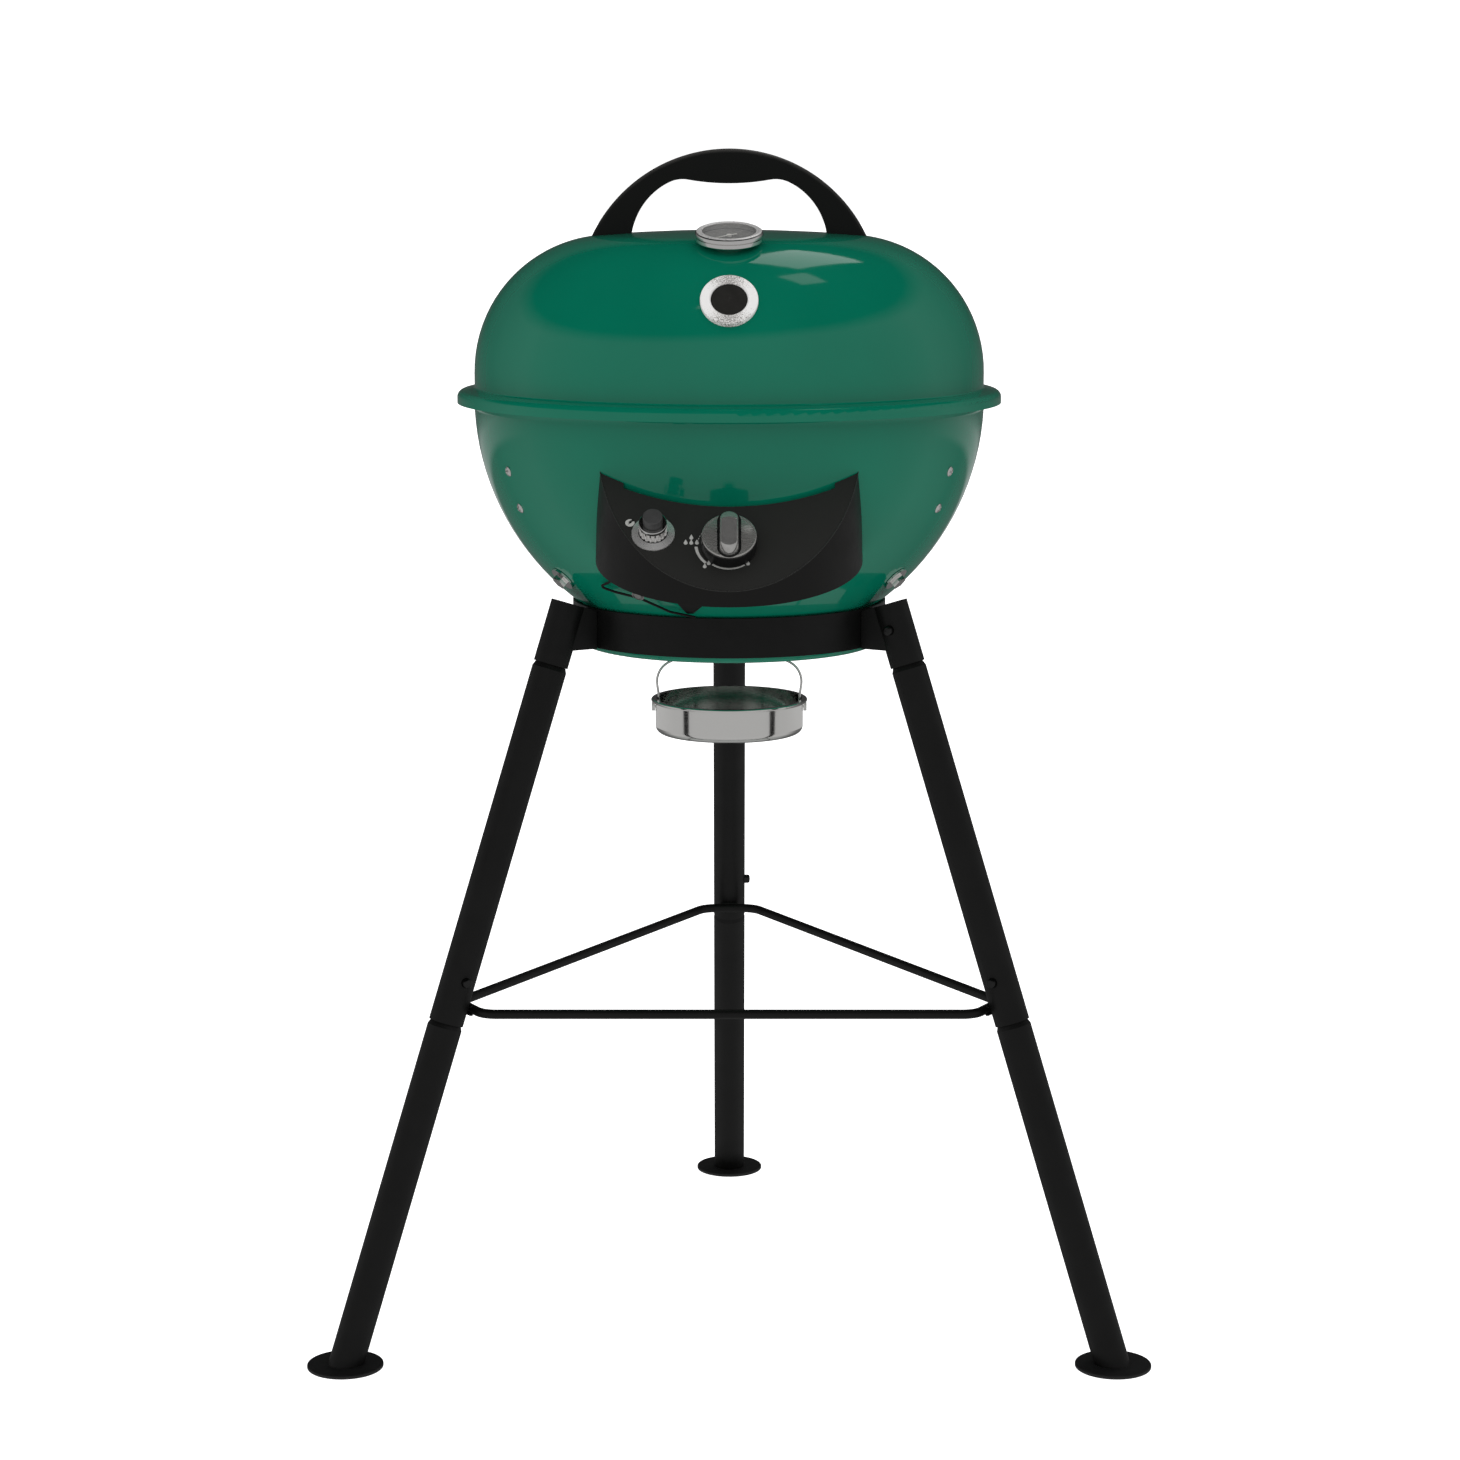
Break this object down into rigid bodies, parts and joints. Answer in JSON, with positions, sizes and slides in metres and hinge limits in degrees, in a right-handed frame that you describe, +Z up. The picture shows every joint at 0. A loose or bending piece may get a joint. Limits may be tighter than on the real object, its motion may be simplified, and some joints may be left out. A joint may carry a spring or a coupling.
{
  "type": "gas kettle grill on a tripod",
  "caption": "Round enamelled kettle grill on a tripod, with lift-off lid, gas knob, push igniter, grid, funnel and a hanging drip pan.",
  "frame": {"origin": "on the floor, in the middle of the footprint box; the kettle axis stands 65 mm in front of it", "axes": "+Z up, -Y to the front with the controls, +X to the right seen from the front"},
  "size_m": [0.6868, 0.6526, 0.9766],
  "materials": {
    "green_enamel": "glossy dark green vitreous enamel",
    "black_moulding": "satin black heat-resistant plastic",
    "knob_plastic": "black plastic skirt",
    "screw_steel": "zinc-plated steel",
    "bezel_chrome": "bright chrome",
    "dial_face": "dark grey printed dial",
    "dial_glass": "clear flat glass",
    "pointer_paint": "light painted needle",
    "badge_steel": "spun steel ring",
    "badge_black": "gloss black disc",
    "stand_paint": "satin black powder coat",
    "foot_plastic": "black plastic foot",
    "button_plating": "dark zinc button",
    "spring_steel": "blued spring steel",
    "plated_wire": "plated steel wire",
    "pan_steel": "pressed bright steel",
    "burner_steel": "stainless steel, heat tinted",
    "valve_brass": "turned brass",
    "igniter_plastic": "dark grey plastic",
    "electrode_ceramic": "white glazed ceramic",
    "cooking_enamel": "semi-gloss black enamel"
  },
  "bodies": {
    "stand": {"kettle_bowl": "green_enamel", "control_housing": "black_moulding", "bowl_screws": "screw_steel", "bowl_bolts": "screw_steel", "housing_screws": "screw_steel", "igniter_bezel": "bezel_chrome", "leg_ring": "stand_paint", "leg_brace": "stand_paint", "brace_sleeves": "stand_paint", "hose_bracket": "stand_paint", "hose_guide_screw": "stand_paint", "leg_socket_left": "stand_paint", "upper_leg_left": "stand_paint", "lower_leg_left": "stand_paint", "foot_pad_left": "foot_plastic", "leg_socket_right": "stand_paint", "upper_leg_right": "stand_paint", "lower_leg_right": "stand_paint", "foot_pad_right": "foot_plastic", "leg_socket_rear": "stand_paint", "upper_leg_rear": "stand_paint", "lower_leg_rear": "stand_paint", "foot_pad_rear": "foot_plastic", "button_springs": "spring_steel", "hose_guide_wire": "plated_wire", "pan_hook": "plated_wire", "funnel_brackets": "burner_steel", "ring_burner": "burner_steel", "burner_venturi": "burner_steel", "burner_bracket": "burner_steel", "burner_hood": "burner_steel", "gas_valve": "valve_brass", "injector_nozzle": "valve_brass", "igniter_barrel": "igniter_plastic", "ignition_electrode": "electrode_ceramic"},
    "lid": {"lid_shell": "green_enamel", "lid_handle": "black_moulding", "handle_screws": "screw_steel", "thermometer_case": "bezel_chrome", "thermometer_dial": "dial_face", "thermometer_glass": "dial_glass", "thermometer_nut": "screw_steel", "badge_ring": "badge_steel", "badge_disc": "badge_black"},
    "pointer": {"thermometer_pointer": "pointer_paint"},
    "grid": {"cooking_grid": "cooking_enamel"},
    "funnel": {"drip_funnel": "cooking_enamel"},
    "knob": {"gas_knob": "knob_plastic", "knob_cap": "bezel_chrome", "valve_stem": "valve_brass"},
    "igniter_push": {"ignition_button": "igniter_plastic"},
    "bail": {"pan_bail": "plated_wire"},
    "pan": {"drip_pan": "pan_steel"},
    "button_rear_middle": {"snap_button_rear_middle": "button_plating"},
    "button_rear_top": {"snap_button_rear_top": "button_plating"},
    "button_right_middle": {"snap_button_right_middle": "button_plating"},
    "button_right_top": {"snap_button_right_top": "button_plating"},
    "button_left_middle": {"snap_button_left_middle": "button_plating"},
    "button_left_top": {"snap_button_left_top": "button_plating"}
  },
  "joints": [
    {"name": "lid_lift", "type": "slide", "parent": "stand", "child": "lid", "axis": [0, 0, 1], "range_m": [0, 0.3]},
    {"name": "pointer_turn", "type": "hinge", "parent": "lid", "child": "pointer", "pos_m": [0, -0.19239, 0.90318], "axis": [0, -0.2588, 0.9659], "range_deg": [-246, 0]},
    {"name": "grid_lift", "type": "slide", "parent": "stand", "child": "grid", "axis": [0, 0, 1], "range_m": [0, 0.02]},
    {"name": "funnel_lift", "type": "slide", "parent": "stand", "child": "funnel", "axis": [0, 0, 1], "range_m": [0, 0.01]},
    {"name": "knob_turn", "type": "hinge", "parent": "stand", "child": "knob", "pos_m": [0, -0.2959, 0.6766], "axis": [0, -0.7132, 0.7009], "range_deg": [0, 215]},
    {"name": "igniter_press", "type": "slide", "parent": "stand", "child": "igniter_push", "axis": [0, 0.7132, -0.7009], "range_m": [0, 0.006], "stiffness_N_per_m": 900, "springref_m": -0.003},
    {"name": "bail_swing", "type": "hinge", "parent": "stand", "child": "bail", "pos_m": [0, -0.0654, 0.5735], "axis": [1, 0, 0], "range_deg": [-15, 15]},
    {"name": "pan_tilt", "type": "hinge", "parent": "bail", "child": "pan", "pos_m": [0, -0.0654, 0.5145], "axis": [1, 0, 0], "range_deg": [-20, 20]},
    {"name": "button_rear_middle_press", "type": "slide", "parent": "stand", "child": "button_rear_middle", "axis": [-1, 0, 0], "range_m": [0, 0.0045], "stiffness_N_per_m": 800, "springref_m": -0.002},
    {"name": "button_rear_top_press", "type": "slide", "parent": "stand", "child": "button_rear_top", "axis": [-1, 0, 0], "range_m": [0, 0.0045], "stiffness_N_per_m": 800, "springref_m": -0.002},
    {"name": "button_right_middle_press", "type": "slide", "parent": "stand", "child": "button_right_middle", "axis": [0.5, 0.866, 0], "range_m": [0, 0.0045], "stiffness_N_per_m": 800, "springref_m": -0.002},
    {"name": "button_right_top_press", "type": "slide", "parent": "stand", "child": "button_right_top", "axis": [0.5, 0.866, 0], "range_m": [0, 0.0045], "stiffness_N_per_m": 800, "springref_m": -0.002},
    {"name": "button_left_middle_press", "type": "slide", "parent": "stand", "child": "button_left_middle", "axis": [-0.5, 0.866, 0], "range_m": [0, 0.0045], "stiffness_N_per_m": 800, "springref_m": -0.002},
    {"name": "button_left_top_press", "type": "slide", "parent": "stand", "child": "button_left_top", "axis": [0.5, -0.866, 0], "range_m": [0, 0.0045], "stiffness_N_per_m": 800, "springref_m": -0.002}
  ]
}
